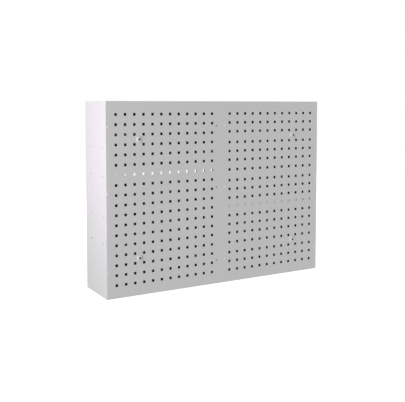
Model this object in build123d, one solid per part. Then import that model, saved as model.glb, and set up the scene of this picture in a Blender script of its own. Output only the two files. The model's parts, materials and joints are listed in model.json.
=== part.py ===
"""Wall-hung pegboard tool wall: a folded sheet-steel case with a perforated front.

Millimetres, +Z up, +X to the right of someone who faces the pegboard, +Y to the wall.
The origin is the centre of the wall-bolt pattern, on the wall plane.
"""
import os
from math import sqrt

from build123d import *

# Peg grid, from the edge of the front sheet to the middle of the first holes
hole_pitch = 38.0
hook_tail = 10.0
hook_clearance = 0.6
field_columns = 12
field_rows = 18
side_margin = 40.0
centre_band = 84.0
top_margin = 50.0
bottom_margin = 50.0

# Right field: its rows come in strips, with a wider or narrower step between strips
strip_rows = (3, 3, 1, 3, 1, 3, 1, 3)
strip_pitch = 36.4
strip_steps = (44.0, 40.0, 44.0, 33.0, 40.0, 39.0, 42.0)

# Case
depth = 210.0
front_sheet = 1.2
case_sheet = 1.2
back_sheet = 1.2
flange_width = 18.0
bend_radius = 1.0
fold_gap = 0.5
edge_round = 0.6

# Centre post, a deep hat section from the front sheet to the back sheet
post_sheet = 1.2
post_width = 26.0
post_flange = 15.0

# Side channels, wide hat sections that stiffen the side panels
channel_sheet = 1.5
channel_height = 20.0
channel_flange = 18.0
channel_overrun = 30.0

# Cross rails behind one row of each field, and the cleats at their ends
rail_sheet = 1.5
rail_height = 34.0
rail_return = 14.0
rail_end_gap = 2.0
left_rail_row = 7
right_rail_row = 11
cleat_sheet = 2.0
cleat_height = 28.0
cleat_foot = 30.0
cleat_arm = 36.0

# Slots in the rails, from the left end of each rail to the middle of its first slot
rail_slot_width = 6.0
rail_slot_height = 20.0
rail_slot_pitch = 37.3
rail_slot_land = 1.5
left_rail_slot_start = 49.1
right_rail_slot_start = 40.4

# Wall sleeves, with their backing plates and lock rings
sleeve_bore = 8.4
sleeve_diameter = 14.0
sleeve_inset_pitches = 2.5
collar_diameter = 26.0
collar_height = 5.4
collar_rim = 0.6
collar_top_diameter = 11.4
sleeve_clearance = 0.2
plate_width = 110.0
plate_height = 60.0
plate_sheet = 3.0
ring_diameter = 24.0
ring_height = 6.0

# Rivets
rivet_diameter = 4.8
rivet_hole_clearance = 0.1
dome_diameter = 9.5
dome_height = 2.0
tube_rivet_diameter = 6.0
tube_rivet_bore = 4.4
tail_overlap = 1.0
tail_height = 2.0
flush_depth = 1.0
edge_rivet_inset = 8.5
post_rivet_offset = 19.0
post_tube_rivet_offset = 23.0
front_rivet_end_inset = 98.0
front_rivet_middle_drop = 250.0
side_rivet_depths = (33.0, 154.0)
side_rivet_first_drop = 176.0
side_rivet_last_drop = 536.0
end_rivet_depths = (35.0, 105.0, 175.0)
back_rivet_span = 460.0
cleat_rivet_inset = 15.0
cleat_rivet_drop = 7.3

# Drop of each row of peg holes below the top row
left_drops = [i * hole_pitch for i in range(field_rows)]
right_drops = []
strip_drop = 0.0
for rows, step in zip(strip_rows, strip_steps + (0.0,)):
    right_drops += [strip_drop + i * strip_pitch for i in range(rows)]
    strip_drop = right_drops[-1] + step

# Overall size and the main planes
field_width = (field_columns - 1) * hole_pitch
field_height = max(left_drops + right_drops)
width = 2 * side_margin + 2 * field_width + centre_band
height = top_margin + field_height + bottom_margin
half_width = width / 2
half_height = height / 2
front_face = -depth
case_front = front_face + front_sheet
case_back = -back_sheet
inner_side = half_width - case_sheet
top_row = half_height - top_margin
rail_face = case_front + max(case_sheet, post_sheet)
rail_back = rail_face + rail_sheet
post_half = post_width / 2
cleat_seat = inner_side - channel_sheet

# Places that repeat
left_columns = [-half_width + side_margin + i * hole_pitch for i in range(field_columns)]
right_columns = [-x for x in left_columns]
left_rows = [top_row - drop for drop in left_drops]
right_rows = [top_row - drop for drop in right_drops]
left_rail_z = left_rows[left_rail_row - 1]
right_rail_z = right_rows[right_rail_row - 1]

sleeve_x = half_width - side_margin - sleeve_inset_pitches * hole_pitch
sleeve_z = top_row - sleeve_inset_pitches * hole_pitch
sleeve_places = {
    "upper_left": (-sleeve_x, sleeve_z),
    "upper_right": (sleeve_x, sleeve_z),
    "lower_left": (-sleeve_x, -sleeve_z),
    "lower_right": (sleeve_x, -sleeve_z),
}

edge_rivet_x = half_width - edge_rivet_inset
rivet_top = half_height - front_rivet_end_inset
front_rivet_heights = (rivet_top, rivet_top - front_rivet_middle_drop, -rivet_top)
side_rivet_heights = [
    half_height - side_rivet_first_drop,
    left_rail_z - cleat_rivet_drop,
    right_rail_z - cleat_rivet_drop,
    half_height - side_rivet_last_drop,
]
side_rivet_ys = [front_face + d for d in side_rivet_depths]
end_rivet_ys = [front_face + d for d in end_rivet_depths]
end_rivet_x = half_width - flange_width / 2
back_flange_rivet_z = half_height - flange_width / 2
cleat_rivet_x = cleat_seat - cleat_foot + cleat_rivet_inset
post_cleat_rivet_x = post_half + cleat_foot - cleat_rivet_inset
post_cleat_rivet_y = rail_back + cleat_arm - cleat_rivet_inset
left_rail_slot_x = -inner_side + rail_end_gap + left_rail_slot_start
right_rail_slot_x = post_half + rail_end_gap + right_rail_slot_start


def block(x_span, y_span, z_span):
    """A box between two corners."""
    size = [high - low for low, high in (x_span, y_span, z_span)]
    middle = [(high + low) / 2 for low, high in (x_span, y_span, z_span)]
    return Pos(*middle) * Box(*size)


def folded_section(points, sheet):
    """Section of a folded sheet that lies to the left of the points, with real bends."""
    radii = []
    for before, corner, after in zip(points, points[1:], points[2:]):
        turn = (Vector(corner) - Vector(before)).cross(Vector(after) - Vector(corner)).Z
        radii.append(bend_radius + sheet if turn > 0 else bend_radius)
    face_line = FilletPolyline(*points, radius=radii)
    return make_face(offset(face_line, amount=sheet, side=Side.LEFT))


def upright(section, low, high):
    """A section drawn in plan, run from one height to another."""
    return Pos(0, 0, low) * extrude(section, high - low)


def crosswise(section, low, high):
    """A section drawn in side view (y, z), run from one x to another."""
    return Pos(low, 0, 0) * (Plane.YZ * extrude(section, high - low))


def mirrored(solid):
    """The same piece for the other side of the centre line."""
    return mirror(solid, about=Plane.YZ)


def drilled(solid, diameter, places, direction):
    """The piece with round holes through it at the places, along a direction."""
    reach = 4 * (case_sheet + plate_sheet)
    drill = Cylinder(diameter / 2, reach)
    return solid - [Plane(p, z_dir=direction).location * drill for p in places]


def at_places(solid, places, direction):
    """Copies of a solid, its local Z turned to a direction, as one group."""
    return Compound([Plane(p, z_dir=direction).location * solid for p in places])


rivet_hole = rivet_diameter + rivet_hole_clearance
tube_rivet_hole = tube_rivet_diameter + rivet_hole_clearance
to_front = (0, -1, 0)
to_wall = (0, 1, 0)
to_left = (-1, 0, 0)
to_right = (1, 0, 0)
to_top = (0, 0, 1)
to_floor = (0, 0, -1)


def front_places(xs):
    """Front rivet places on the front face, at the given columns."""
    return [(x, front_face, z) for x in xs for z in front_rivet_heights]


def side_places():
    """Rivet places on the outside of the left side panel."""
    return [(-half_width, y, z) for z in side_rivet_heights for y in side_rivet_ys]


def end_places(z):
    """Rivet places on the top or bottom panel, over the side panels' end flanges."""
    return [(side * end_rivet_x, y, z) for side in (-1, 1) for y in end_rivet_ys]


def back_places():
    """Rivet places on the back sheet: side flanges, top and bottom flanges, centre post."""
    sides = [(side * edge_rivet_x, 0, z) for side in (-1, 1) for z in front_rivet_heights]
    end_xs = (-back_rivet_span / 2, back_rivet_span / 2)
    ends = [(x, 0, z) for x in end_xs for z in (-back_flange_rivet_z, back_flange_rivet_z)]
    post = [(0, 0, z) for z in front_rivet_heights]
    return sides + ends + post


def rivet(head, grip, diameter):
    """A set rivet from its head's half outline: z 0 is the sheet's outside, the tail is below."""
    shank = diameter / 2
    tail = shank + tail_overlap
    body = Polyline(
        head @ 1,
        (shank, -grip),
        (tail, -grip),
        (tail, -grip - tail_height / 2),
        (shank, -grip - tail_height),
        (0, -grip - tail_height),
        head @ 0,
    )
    return revolve(Plane.XZ * make_face([head, body]), Axis.Z)


def dome(start):
    """Half outline of a domed rivet head, from a distance off its axis to its rim."""
    rim = dome_diameter / 2
    ball = (rim**2 + dome_height**2) / (2 * dome_height)
    crown = sqrt(ball**2 - start**2) - ball + dome_height
    return RadiusArc((start, crown), (rim, 0), ball)


def dome_rivet(grip):
    """A rivet with a domed head."""
    seat = Line((dome_diameter / 2, 0), (rivet_diameter / 2, 0))
    return rivet(Wire([dome(0), seat]), grip, rivet_diameter)


def tube_rivet(grip):
    """A rivet with a domed head and a bore that is closed at its tail."""
    bore = tube_rivet_bore / 2
    head = dome(bore)
    inside = Polyline((0, -grip), (bore, -grip), head @ 0)
    seat = Line((dome_diameter / 2, 0), (tube_rivet_diameter / 2, 0))
    return rivet(Wire([*inside.edges(), head, seat]), grip, tube_rivet_diameter)


def flush_rivet(grip):
    """A rivet with a countersunk head that ends flush with the sheet."""
    shank = rivet_diameter / 2
    head = Polyline((0, 0), (shank + flush_depth, 0), (shank, -flush_depth))
    return rivet(head, grip, rivet_diameter)


def countersunk(solid, places, direction):
    """The piece with rivet holes and the countersinks that take flush heads."""
    sink = Cone(rivet_hole / 2, rivet_hole / 2 + flush_depth, flush_depth)
    sink = Pos(0, 0, -flush_depth / 2) * sink
    holed = drilled(solid, rivet_hole, places, direction)
    return holed - [Plane(p, z_dir=direction).location * sink for p in places]


def front_panel():
    """The front: one flat sheet with two fields of square peg holes."""
    hole_side = hook_tail + hook_clearance
    peg_hole = Rectangle(hole_side, hole_side)
    holes = [Pos(x, z) * peg_hole for x in left_columns for z in left_rows]
    holes += [Pos(x, z) * peg_hole for x in right_columns for z in right_rows]
    sleeve_hole = Circle((sleeve_diameter + sleeve_clearance) / 2)
    holes += [Pos(x, z) * sleeve_hole for x, z in sleeve_places.values()]
    columns = (-edge_rivet_x, edge_rivet_x, post_rivet_offset)
    holes += [Pos(x, z) * Circle(rivet_hole / 2) for x, _, z in front_places(columns)]
    tube_places = front_places([-post_tube_rivet_offset])
    holes += [Pos(x, z) * Circle(tube_rivet_hole / 2) for x, _, z in tube_places]
    punches = extrude(Plane.XZ.offset(-case_front - front_sheet) * (Sketch() + holes), 3 * front_sheet)
    sheet = block((-half_width, half_width), (front_face, case_front), (-half_height, half_height))
    sheet = fillet(sheet.faces().sort_by(Axis.Y)[0].edges(), edge_round)
    return sheet - punches


def back_panel():
    """The flat back sheet, which lies on the wall."""
    sleeve_hole = Circle((sleeve_diameter + sleeve_clearance) / 2)
    holes = [Pos(x, z) * sleeve_hole for x, z in sleeve_places.values()]
    sheet = extrude(Plane.XZ * (Rectangle(width, height) - holes), back_sheet)
    return countersunk(sheet, back_places(), to_wall)


def left_side_panel():
    """A side: a folded pan with flanges for the front, the back, the top and the bottom."""
    section = folded_section(
        [
            (-half_width + flange_width, case_back),
            (-half_width, case_back),
            (-half_width, case_front),
            (-half_width + flange_width, case_front),
        ],
        case_sheet,
    )
    end = half_height - case_sheet
    panel = upright(section, -end, end)
    clear = case_sheet + bend_radius + fold_gap
    for low in (-end, end - case_sheet):
        panel += block(
            (-half_width, -half_width + flange_width),
            (case_front + clear, case_back - clear),
            (low, low + case_sheet),
        )
    panel = drilled(panel, rivet_hole, front_places([-edge_rivet_x]), to_front)
    rear_rivets = [p for p in back_places() if p[0] == -edge_rivet_x]
    panel = drilled(panel, rivet_hole, rear_rivets, to_wall)
    panel = drilled(panel, rivet_hole, side_places(), to_left)
    for z in (-half_height, half_height):
        panel = drilled(panel, rivet_hole, [p for p in end_places(z) if p[0] < 0], to_top)
    return panel


def top_panel():
    """The top: a folded sheet over both sides, with flanges for the front and the back."""
    section = folded_section(
        [
            (case_back, half_height - flange_width),
            (case_back, half_height),
            (case_front, half_height),
            (case_front, half_height - flange_width),
        ],
        case_sheet,
    )
    flange_end = half_width - flange_width - fold_gap
    panel = crosswise(section, -flange_end, flange_end)
    under = half_height - case_sheet
    for low, high in ((-half_width, -flange_end), (flange_end, half_width)):
        panel += block((low, high), (case_front, case_back), (under, half_height))
    panel = countersunk(panel, end_places(half_height), to_top)
    upper_rivets = [p for p in back_places() if p[2] == back_flange_rivet_z]
    return drilled(panel, rivet_hole, upper_rivets, to_wall)


def centre_post():
    """The centre post: its flanges carry the front sheet and its crown lies on the back sheet."""
    flange_back = case_front + post_sheet
    tip = post_half + post_flange
    section = folded_section(
        [
            (tip, flange_back),
            (post_half, flange_back),
            (post_half, case_back),
            (-post_half, case_back),
            (-post_half, flange_back),
            (-tip, flange_back),
        ],
        post_sheet,
    )
    end = half_height - flange_width - fold_gap
    post = upright(section, -end, end)
    post = drilled(post, tube_rivet_hole, front_places([-post_tube_rivet_offset]), to_front)
    post = drilled(post, rivet_hole, front_places([post_rivet_offset]), to_front)
    post = drilled(post, rivet_hole, [p for p in back_places() if p[0] == 0], to_wall)
    drill = Plane.YZ * Cylinder(rivet_hole / 2, post_half)
    post -= Pos(-post_half, post_cleat_rivet_y, left_rail_z) * drill
    return post - Pos(post_half, post_cleat_rivet_y, right_rail_z) * drill


def left_side_channel():
    """A wide hat section on the inside of the left side panel."""
    wall = -inner_side
    front_y, back_y = side_rivet_ys
    half_flange = channel_flange / 2
    section = folded_section(
        [
            (wall + channel_sheet, front_y - half_flange),
            (wall + channel_sheet, front_y + half_flange),
            (wall + channel_height, front_y + half_flange),
            (wall + channel_height, back_y - half_flange),
            (wall + channel_sheet, back_y - half_flange),
            (wall + channel_sheet, back_y + half_flange),
        ],
        channel_sheet,
    )
    low = min(side_rivet_heights) - channel_overrun
    high = max(side_rivet_heights) + channel_overrun
    return drilled(upright(section, low, high), rivet_hole, side_places(), to_left)


def left_rail(z_mid):
    """A cross rail, a channel whose face lies behind one row of peg holes."""
    half_rail = rail_height / 2
    section = folded_section(
        [
            (rail_face + rail_return, z_mid + half_rail),
            (rail_face, z_mid + half_rail),
            (rail_face, z_mid - half_rail),
            (rail_face + rail_return, z_mid - half_rail),
        ],
        rail_sheet,
    )
    rail = crosswise(section, -inner_side + rail_end_gap, -post_half - rail_end_gap)
    places = [(-cleat_rivet_x, rail_face, z_mid), (-post_cleat_rivet_x, rail_face, z_mid)]
    return countersunk(rail, places, to_front)


def slotted(rail, first_x, rivet_x, z_mid):
    """The rail with a row of upright slots, up to the last one that clears the rivet on its right."""
    clear = rivet_hole / 2 + flush_depth + rail_slot_land + rail_slot_width / 2
    count = 1 + int((rivet_x - clear - first_x) / rail_slot_pitch)
    outline = SlotOverall(rail_slot_height, rail_slot_width, rotation=90)
    slot = extrude(Plane.XZ * outline, 2 * rail_sheet, both=True)
    return rail - [Pos(first_x + i * rail_slot_pitch, rail_face, z_mid) * slot for i in range(count)]


def cleat(seat_x, z_mid):
    """An angle with its arm on an upright face at seat_x and its foot behind a rail, towards +X."""
    section = folded_section(
        [
            (seat_x, rail_back + cleat_arm),
            (seat_x, rail_back),
            (seat_x + cleat_foot, rail_back),
        ],
        cleat_sheet,
    )
    angle = upright(section, z_mid - cleat_height / 2, z_mid + cleat_height / 2)
    foot_hole = (seat_x + cleat_foot - cleat_rivet_inset, rail_face, z_mid)
    return drilled(angle, rivet_hole, [foot_hole], to_front)


def outer_cleat(z_mid):
    """The cleat on the left side channel's flange, held by one of the side rivets."""
    hole = (-half_width, side_rivet_ys[0], z_mid - cleat_rivet_drop)
    return drilled(cleat(-cleat_seat, z_mid), rivet_hole, [hole], to_left)


def inner_cleat(z_mid):
    """The cleat on the right face of the centre post."""
    hole = (post_half, post_cleat_rivet_y, z_mid)
    return drilled(cleat(post_half, z_mid), rivet_hole, [hole], to_right)


def wall_sleeve():
    """A tube for one wall bolt, with a domed collar on the front sheet; z 0 is the front face."""
    bore = sleeve_bore / 2
    tube = sleeve_diameter / 2
    collar = collar_diameter / 2
    crown = collar_top_diameter / 2
    collar_dome = TangentArc((crown, collar_height), (collar, collar_rim), tangent=(1, 0))
    rest = Polyline(
        (collar, collar_rim),
        (collar, 0),
        (tube, 0),
        (tube, -depth),
        (bore, -depth),
        (bore, collar_height),
        (crown, collar_height),
    )
    return revolve(Plane.XZ * make_face([collar_dome, rest]), Axis.Z)


def wall_plate(x, z):
    """A backing plate on the inside of the back sheet, round one wall sleeve."""
    plate = block(
        (x - plate_width / 2, x + plate_width / 2),
        (case_back - plate_sheet, case_back),
        (z - plate_height / 2, z + plate_height / 2),
    )
    return drilled(plate, sleeve_diameter + sleeve_clearance, [(x, case_back, z)], to_wall)


def lock_ring():
    """A ring on the sleeve, in front of its backing plate; z 0 is the plate's front face."""
    opening = Cylinder((sleeve_diameter + sleeve_clearance) / 2, 3 * ring_height)
    ring = Cylinder(ring_diameter / 2, ring_height) - opening
    return Pos(0, 0, ring_height / 2) * ring


def left_side_rivets(rail_z):
    """The rivets of the left side panel; one of them also holds the cleat of a rail."""
    grip = case_sheet + channel_sheet
    places = side_places()
    held = (-half_width, side_rivet_ys[0], rail_z - cleat_rivet_drop)
    plain = [p for p in places if p != held]
    solids = [Plane(p, z_dir=to_left).location * dome_rivet(grip) for p in plain]
    solids.append(Plane(held, z_dir=to_left).location * dome_rivet(grip + cleat_sheet))
    return Compound(solids)


def left_rail_rivets(z_mid):
    """The flush rivets from a rail into its two cleats, and the dome rivet into the post."""
    places = [(-cleat_rivet_x, rail_face, z_mid), (-post_cleat_rivet_x, rail_face, z_mid)]
    flush = flush_rivet(rail_sheet + cleat_sheet)
    solids = [Plane(p, z_dir=to_front).location * flush for p in places]
    on_post = (-post_half - cleat_sheet, post_cleat_rivet_y, z_mid)
    solids.append(Plane(on_post, z_dir=to_left).location * dome_rivet(cleat_sheet + post_sheet))
    return Compound(solids)


nodes = {
    "front_panel": front_panel(),
    "back_panel": back_panel(),
    "left_side_panel": left_side_panel(),
    "right_side_panel": mirrored(left_side_panel()),
    "top_panel": top_panel(),
    "bottom_panel": mirror(top_panel(), about=Plane.XY),
    "centre_post": centre_post(),
    "left_side_channel": left_side_channel(),
    "right_side_channel": mirrored(left_side_channel()),
    "left_rail": slotted(
        left_rail(left_rail_z), left_rail_slot_x, -post_cleat_rivet_x, left_rail_z
    ),
    "right_rail": slotted(
        mirrored(left_rail(right_rail_z)), right_rail_slot_x, cleat_rivet_x, right_rail_z
    ),
    "left_rail_outer_cleat": outer_cleat(left_rail_z),
    "left_rail_inner_cleat": mirrored(inner_cleat(left_rail_z)),
    "right_rail_inner_cleat": inner_cleat(right_rail_z),
    "right_rail_outer_cleat": mirrored(outer_cleat(right_rail_z)),
}

for corner, (x, z) in sleeve_places.items():
    place = Plane((x, front_face, z), z_dir=to_front).location
    nodes[corner + "_wall_sleeve"] = place * wall_sleeve()
    nodes[corner + "_wall_plate"] = wall_plate(x, z)

ring_places = [(x, case_back - plate_sheet, z) for x, z in sleeve_places.values()]
nodes["sleeve_lock_rings"] = at_places(lock_ring(), ring_places, to_front)

edge_rivet = dome_rivet(front_sheet + case_sheet)
post_rivet = dome_rivet(front_sheet + post_sheet)
post_tube_rivet = tube_rivet(front_sheet + post_sheet)
end_rivet = flush_rivet(2 * case_sheet)
back_rivet = flush_rivet(back_sheet + case_sheet)
nodes["left_edge_rivets"] = at_places(edge_rivet, front_places([-edge_rivet_x]), to_front)
nodes["right_edge_rivets"] = at_places(edge_rivet, front_places([edge_rivet_x]), to_front)
nodes["post_left_rivets"] = at_places(post_tube_rivet, front_places([-post_tube_rivet_offset]), to_front)
nodes["post_right_rivets"] = at_places(post_rivet, front_places([post_rivet_offset]), to_front)
nodes["left_side_rivets"] = left_side_rivets(left_rail_z)
nodes["right_side_rivets"] = mirrored(left_side_rivets(right_rail_z))
nodes["top_rivets"] = at_places(end_rivet, end_places(half_height), to_top)
nodes["bottom_rivets"] = at_places(end_rivet, end_places(-half_height), to_floor)
nodes["back_rivets"] = at_places(back_rivet, back_places(), to_wall)
nodes["left_rail_rivets"] = left_rail_rivets(left_rail_z)
nodes["right_rail_rivets"] = mirrored(left_rail_rivets(right_rail_z))

os.makedirs("parts", exist_ok=True)
for name, solid in nodes.items():
    export_step(solid, f"parts/{name}.step")
print(f"{len(nodes)} nodes, {width:g} x {depth:g} x {height:g} mm case")
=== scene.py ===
"""Looks of the pegboard tool wall: powder-coated sheet steel in soft studio light on white.

Metres, in the frame of the part: +X right, +Y to the wall, +Z up, origin on the wall plane.
"""
import json
import math

import bpy
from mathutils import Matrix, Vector


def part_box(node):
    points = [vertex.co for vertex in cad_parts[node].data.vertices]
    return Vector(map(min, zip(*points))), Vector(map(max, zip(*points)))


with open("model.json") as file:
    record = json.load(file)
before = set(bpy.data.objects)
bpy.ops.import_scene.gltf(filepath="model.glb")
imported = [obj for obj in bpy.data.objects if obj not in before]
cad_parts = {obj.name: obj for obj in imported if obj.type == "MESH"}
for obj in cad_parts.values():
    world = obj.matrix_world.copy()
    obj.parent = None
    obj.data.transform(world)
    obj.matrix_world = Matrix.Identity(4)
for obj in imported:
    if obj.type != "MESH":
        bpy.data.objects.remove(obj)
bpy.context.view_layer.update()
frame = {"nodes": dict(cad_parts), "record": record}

# Planes of the case that the finishes follow, read from the panels
front_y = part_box("front_panel")[0].y
back_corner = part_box("back_panel")[1]
case_right = back_corner.x
case_top = back_corner.z
wall_y = back_corner.y

# Depth of the light outer coat, a little less than the front sheet; faces deeper in get painted shade
skin = 0.0011

# Fixings on the front: shade is painted down their bores, fading in from the mouth
corners = ("upper_left", "upper_right", "lower_left", "lower_right")
sleeve_bore_radius = 0.00425
sleeve_bore_fade = 0.0025
tube_rivet_heights = (0.275, 0.025, -0.275)
tube_rivet_rim = 0.0028
tube_rivet_fade = 0.0002

# Bright rail: how far it is dull, and where it is fully bright, both from its outer end
rail_dull_length = 0.012
rail_bright_start = 0.145
rail_metallic = 0.9

# Depth of the ripple in the coats
coat_ripple = 0.00004
fixing_ripple = 0.00003

# Camera, at the photograph's viewing angle; lens and sensor in millimetres
camera_place = (-1.4411, -2.5525, 0.3588)
camera_yaw = math.radians(30.036)
camera_pitch = math.radians(3.341)
camera_lens = 60.121
camera_sensor = 36.0
camera_shift = -0.14

# Colours, as linear values
body_grey = (0.640, 0.646, 0.640)
# Painted shade: near black on faces inside the case and down the bores of the fixings
inside_painted_shade = (0.022, 0.022, 0.023)
rail_grey = (0.660, 0.664, 0.660)
rail_white = (0.980, 0.980, 0.985)
rail_end_grey = (0.860, 0.860, 0.860)
rivet_light = (0.700, 0.702, 0.700)
tube_rivet_grey = (0.600, 0.602, 0.600)
zinc_grey = (0.560, 0.565, 0.570)
rivet_grey = (0.420, 0.420, 0.425)
floor_pale = (0.810, 0.800, 0.775)
white = (1.0, 1.0, 1.0)

# Light from all round, and how much of it leans to the left
ambient = 0.42
ambient_slope = 0.32

# Near soft box at the left
key_place = (-1.314, -0.352, 0.236)
key_target = (-0.51, -0.9, 0.70)
key_power = 6.86
key_colour = (1.0, 0.845, 1.039)
key_size = 0.9

# Far soft light at the front left
front_place = (-2.28, -2.31, 0.46)
front_target = (0.0, front_y, 0.0)
front_power = 1.33
front_colour = (0.975, 0.994, 1.0)
front_angle = math.radians(16.0)

# Fill behind at the right
fill_place = (7.0, 3.5, 2.0)
fill_target = (0.0, 0.0, 0.0)
fill_power = 95.0
fill_size = 3.0

# Floor
floor_z = -1.15
floor_half = 9.0
floor_glow = 0.78


def set_inputs(tree, made, inputs):
    """Sets a shader node's sockets, by name or number, to values or to other nodes' outputs."""
    for key, value in inputs.items():
        if isinstance(value, bpy.types.NodeSocket):
            tree.links.new(value, made.inputs[key])
        else:
            made.inputs[key].default_value = value


def node(tree, kind, inputs=None, **settings):
    """Adds a shader node with its settings and inputs."""
    made = tree.nodes.new("ShaderNode" + kind)
    for key, value in settings.items():
        setattr(made, key, value)
    set_inputs(tree, made, inputs or {})
    return made


def maths(tree, operation, first, second=0.0):
    """The result of one Math node."""
    return node(tree, "Math", {0: first, 1: second}, operation=operation).outputs[0]


def noise(tree, place, scale, detail):
    """A noise field between 0 and 1, with features about 1 / scale metres wide."""
    return node(tree, "TexNoise", {"Vector": place, "Scale": scale, "Detail": detail}).outputs["Fac"]


def varied(tree, place, scale, detail, low, high):
    """A noise field, brought to between low and high."""
    field = noise(tree, place, scale, detail)
    return node(tree, "MapRange", {"Value": field, "To Min": low, "To Max": high}).outputs["Result"]


def tinted(tree, colour, factor):
    """A colour whose brightness follows a field."""
    return node(tree, "VectorMath", {0: colour, "Scale": factor}, operation="SCALE").outputs["Vector"]


def opaque(colour):
    """A colour with full alpha; another node's output stays as it is."""
    return colour if isinstance(colour, bpy.types.NodeSocket) else (*colour, 1.0)


def mixed(tree, factor, first, second):
    """A colour between two, by a field."""
    # A Mix node has its colours at inputs 6 and 7, and the mixed colour at output 2
    inputs = {0: factor, 6: opaque(first), 7: opaque(second)}
    return node(tree, "Mix", inputs, data_type="RGBA").outputs[2]


def inside_shade_mask(tree, place):
    """1 where shade is painted, on what lies behind the outer skin of the case, 0 on the skin."""
    axes = node(tree, "SeparateXYZ", {"Vector": place}).outputs
    across = maths(tree, "LESS_THAN", maths(tree, "ABSOLUTE", axes["X"]), case_right - skin)
    upward = maths(tree, "LESS_THAN", maths(tree, "ABSOLUTE", axes["Z"]), case_top - skin)
    behind = maths(tree, "GREATER_THAN", axes["Y"], front_y + skin)
    before = maths(tree, "LESS_THAN", axes["Y"], wall_y - skin)
    outline = maths(tree, "MULTIPLY", across, upward)
    between = maths(tree, "MULTIPLY", behind, before)
    return maths(tree, "MULTIPLY", outline, between)


def bore_shade_mask(tree, place, axes, radius, mouth_y, fade):
    """1 where shade is painted, down the bores that run along Y at each x and z, fading to 0 at their
    mouths; 0 elsewhere.
    """
    # Painted shade down the bores of the fixings
    bored = 0.0
    for x, z in axes:
        offset = node(tree, "VectorMath", {0: place, 1: (x, 0.0, z)}, operation="SUBTRACT")
        across = node(
            tree, "VectorMath", {0: offset.outputs["Vector"], 1: (1.0, 0.0, 1.0)}, operation="MULTIPLY"
        )
        distance = node(tree, "VectorMath", {0: across.outputs["Vector"]}, operation="LENGTH")
        within = maths(tree, "LESS_THAN", distance.outputs["Value"], radius)
        bored = maths(tree, "MAXIMUM", within, bored)
    along = node(tree, "SeparateXYZ", {"Vector": place}).outputs["Y"]
    depth = node(tree, "MapRange", {"Value": along, "From Min": mouth_y, "From Max": mouth_y + fade})
    return maths(tree, "MULTIPLY", bored, depth.outputs["Result"])


def new_material(name):
    """An empty node material, with its tree, Principled shader and place in the part's frame."""
    made = bpy.data.materials.new(name)
    made.use_nodes = True
    tree = made.node_tree
    shader = tree.nodes["Principled BSDF"]
    place = node(tree, "TexCoord").outputs["Object"]
    return made, tree, shader, place


def orange_peel(tree, place, depth):
    """The fine ripple of a powder coat, as a surface normal."""
    ripple = noise(tree, place, scale=620.0, detail=2.0)
    bump = node(tree, "Bump", {"Strength": 0.6, "Distance": depth, "Height": ripple})
    return bump.outputs["Normal"]


def powder_coat(name):
    """Powder coat on sheet steel: light grey outside, with painted shade, near black, inside the case.
    """
    made, tree, shader, place = new_material(name)
    cloud = varied(tree, place, scale=2.6, detail=3.0, low=0.97, high=1.03)
    grain = varied(tree, place, scale=240.0, detail=1.0, low=0.985, high=1.015)
    outer = tinted(tree, body_grey, maths(tree, "MULTIPLY", cloud, grain))
    # Painted shade: faces inside the case are near black
    set_inputs(tree, shader, {
        "Base Color": mixed(tree, inside_shade_mask(tree, place), outer, inside_painted_shade),
        "Roughness": varied(tree, place, scale=9.0, detail=3.0, low=0.46, high=0.56),
        "Normal": orange_peel(tree, place, coat_ripple),
    })
    return made


def bright_rail(name):
    """A bright plated strip, which is dull at its outer end."""
    made, tree, shader, place = new_material(name)
    outer_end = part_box("left_rail")[0].x
    along = node(tree, "SeparateXYZ", {"Vector": place}).outputs["X"]
    reach = {
        "Value": along,
        "From Min": outer_end + rail_dull_length,
        "From Max": outer_end + rail_bright_start,
    }
    fade = node(tree, "MapRange", reach, interpolation_type="SMOOTHSTEP").outputs["Result"]
    streaks = varied(tree, place, scale=90.0, detail=3.0, low=0.97, high=1.03)
    bright = tinted(tree, rail_white, streaks)
    set_inputs(tree, shader, {
        "Base Color": mixed(tree, fade, rail_end_grey, bright),
        "Metallic": maths(tree, "MULTIPLY", fade, rail_metallic),
        "Roughness": varied(tree, place, scale=60.0, detail=2.0, low=0.18, high=0.26),
    })
    return made


def rail_coat(name):
    """Light grey coat on the other rail."""
    made, tree, shader, place = new_material(name)
    cloud = varied(tree, place, scale=30.0, detail=3.0, low=0.96, high=1.04)
    set_inputs(tree, shader, {
        "Base Color": tinted(tree, rail_grey, cloud),
        "Roughness": varied(tree, place, scale=60.0, detail=2.0, low=0.45, high=0.55),
        "Normal": orange_peel(tree, place, coat_ripple),
    })
    return made


def metal(name, colour, smooth, rough):
    """Plated or bare steel with fine mottling, whose roughness lies between smooth and rough."""
    made, tree, shader, place = new_material(name)
    mottle = varied(tree, place, scale=160.0, detail=4.0, low=0.9, high=1.1)
    set_inputs(tree, shader, {
        "Base Color": tinted(tree, colour, mottle),
        "Metallic": 1.0,
        "Roughness": varied(tree, place, scale=300.0, detail=2.0, low=smooth, high=rough),
    })
    return made


def fixing_coat(name, colour, **bores):
    """The satin coat of the fixings on the front, with painted shade, near black, inside the case and
    down any bores.
    """
    made, tree, shader, place = new_material(name)
    cloud = varied(tree, place, scale=60.0, detail=3.0, low=0.97, high=1.03)
    # Painted shade: near black inside the case and down any bores
    painted_shade = inside_shade_mask(tree, place)
    if bores:
        painted_shade = maths(tree, "MAXIMUM", bore_shade_mask(tree, place, **bores), painted_shade)
    set_inputs(tree, shader, {
        "Base Color": mixed(tree, painted_shade, tinted(tree, colour, cloud), inside_painted_shade),
        "Roughness": varied(tree, place, scale=80.0, detail=2.0, low=0.26, high=0.34),
        "Normal": orange_peel(tree, place, fixing_ripple),
    })
    return made


def sleeve_coat(name):
    """The coat of the wall sleeves and their collars."""
    boxes = [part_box(f"{corner}_wall_sleeve") for corner in corners]
    axes = [((low.x + high.x) / 2, (low.z + high.z) / 2) for low, high in boxes]
    mouth_y = boxes[0][0].y
    return fixing_coat(
        name, body_grey, axes=axes, radius=sleeve_bore_radius, mouth_y=mouth_y, fade=sleeve_bore_fade
    )


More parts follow.
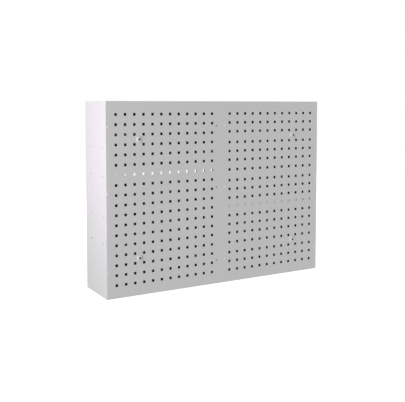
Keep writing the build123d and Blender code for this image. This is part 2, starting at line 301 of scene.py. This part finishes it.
def tube_rivet_coat(name):
    """The coat of the tube rivets, with painted shade in their open ends up to the rim."""
    low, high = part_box("post_left_rivets")
    axes = [((low.x + high.x) / 2, z) for z in tube_rivet_heights]
    return fixing_coat(
        name, tube_rivet_grey, axes=axes, radius=tube_rivet_rim, mouth_y=low.y, fade=tube_rivet_fade
    )


# A finish for each material slot of the record, and for the one node that differs from its slot
finishes = {
    "grey_paint": powder_coat("grey_powder_coat"),
    "inner_paint": powder_coat("inner_coat"),
    "rail_paint": rail_coat("rail_coat"),
    "bright_rail": bright_rail("bright_rail"),
    "sleeve_paint": sleeve_coat("sleeve_coat"),
    "rivet_paint": fixing_coat("rivet_coat", rivet_light),
    "zinc": metal("zinc_plate", zinc_grey, smooth=0.3, rough=0.45),
    "rivet_steel": metal("rivet_steel", rivet_grey, smooth=0.35, rough=0.45),
}
own_finishes = {"post_left_rivets": tube_rivet_coat("tube_rivet_coat")}

for subpart in frame["record"]["subparts"]:
    name = subpart["node"]
    finish = own_finishes.get(name, finishes[subpart["material_slot"]])
    for slot in frame["nodes"][name].material_slots:
        slot.material = finish


def lamp(name, kind, place, target, power, colour):
    """A studio lamp at a place, aimed at a target."""
    data = bpy.data.lights.new(name, kind)
    data.energy = power
    data.color = colour
    made = bpy.data.objects.new(name, data)
    made.location = place
    made.rotation_euler = (Vector(place) - Vector(target)).to_track_quat("Z", "Y").to_euler()
    made.visible_camera = False
    bpy.context.scene.collection.objects.link(made)
    return data


def studio():
    """The three lamps."""
    key = lamp("key_light", "AREA", key_place, key_target, key_power, key_colour)
    key.size = key_size
    front = lamp("front_light", "SUN", front_place, front_target, front_power, front_colour)
    front.angle = front_angle
    fill = lamp("fill_light", "AREA", fill_place, fill_target, fill_power, white)
    fill.size = fill_size


def seen_or_mirrored(tree):
    """1 for rays from the camera, or seen in metal or glass; 0 for the light that falls on things."""
    path = node(tree, "LightPath").outputs
    seen = maths(tree, "MAXIMUM", path["Is Camera Ray"], path["Is Glossy Ray"])
    return maths(tree, "MAXIMUM", seen, path["Is Transmission Ray"])


def backdrop():
    """Light from all round, a little stronger from the left, which shows as white."""
    world = bpy.data.worlds.new("studio_world")
    bpy.context.scene.world = world
    world.use_nodes = True
    tree = world.node_tree
    tree.nodes.clear()
    direction = node(tree, "TexCoord").outputs["Generated"]
    levels = {
        "Value": node(tree, "SeparateXYZ", {"Vector": direction}).outputs["X"],
        "From Min": -1.0,
        "From Max": 1.0,
        "To Min": ambient * (1.0 + ambient_slope),
        "To Max": ambient * (1.0 - ambient_slope),
    }
    strength = node(tree, "MapRange", levels).outputs["Result"]
    light = node(tree, "Background", {"Color": opaque(white), "Strength": strength})
    shown = node(tree, "Background", {"Color": opaque(white), "Strength": 1.0})
    both = node(tree, "MixShader", {0: seen_or_mirrored(tree), 1: light.outputs[0], 2: shown.outputs[0]})
    node(tree, "OutputWorld", {"Surface": both.outputs[0]})


def floor():
    """A pale floor that shows white and keeps a soft shadow."""
    signs = ((-1, -1), (1, -1), (1, 1), (-1, 1))
    outline = [(x * floor_half, y * floor_half, floor_z) for x, y in signs]
    mesh = bpy.data.meshes.new("floor")
    mesh.from_pydata(outline, [], [(0, 1, 2, 3)])
    plane = bpy.data.objects.new("floor", mesh)
    bpy.context.scene.collection.objects.link(plane)
    coat = bpy.data.materials.new("floor_coat")
    coat.use_nodes = True
    tree = coat.node_tree
    tree.nodes.clear()
    matt = node(tree, "BsdfDiffuse", {"Color": opaque(floor_pale)})
    glow = node(tree, "Emission", {"Color": opaque(white), "Strength": floor_glow})
    seen = node(tree, "AddShader", {0: matt.outputs[0], 1: glow.outputs[0]})
    both = node(tree, "MixShader", {0: seen_or_mirrored(tree), 1: matt.outputs[0], 2: seen.outputs[0]})
    node(tree, "OutputMaterial", {"Surface": both.outputs[0]})
    mesh.materials.append(coat)


def camera():
    """The photograph's view."""
    data = bpy.data.cameras.new("camera")
    data.lens = camera_lens
    data.sensor_width = camera_sensor
    data.shift_y = camera_shift
    made = bpy.data.objects.new("camera", data)
    made.location = camera_place
    made.rotation_euler = (math.pi / 2 - camera_pitch, 0.0, -camera_yaw)
    bpy.context.scene.collection.objects.link(made)
    bpy.context.scene.camera = made


studio()
backdrop()
floor()
camera()
bpy.context.scene.view_settings.view_transform = "Standard"
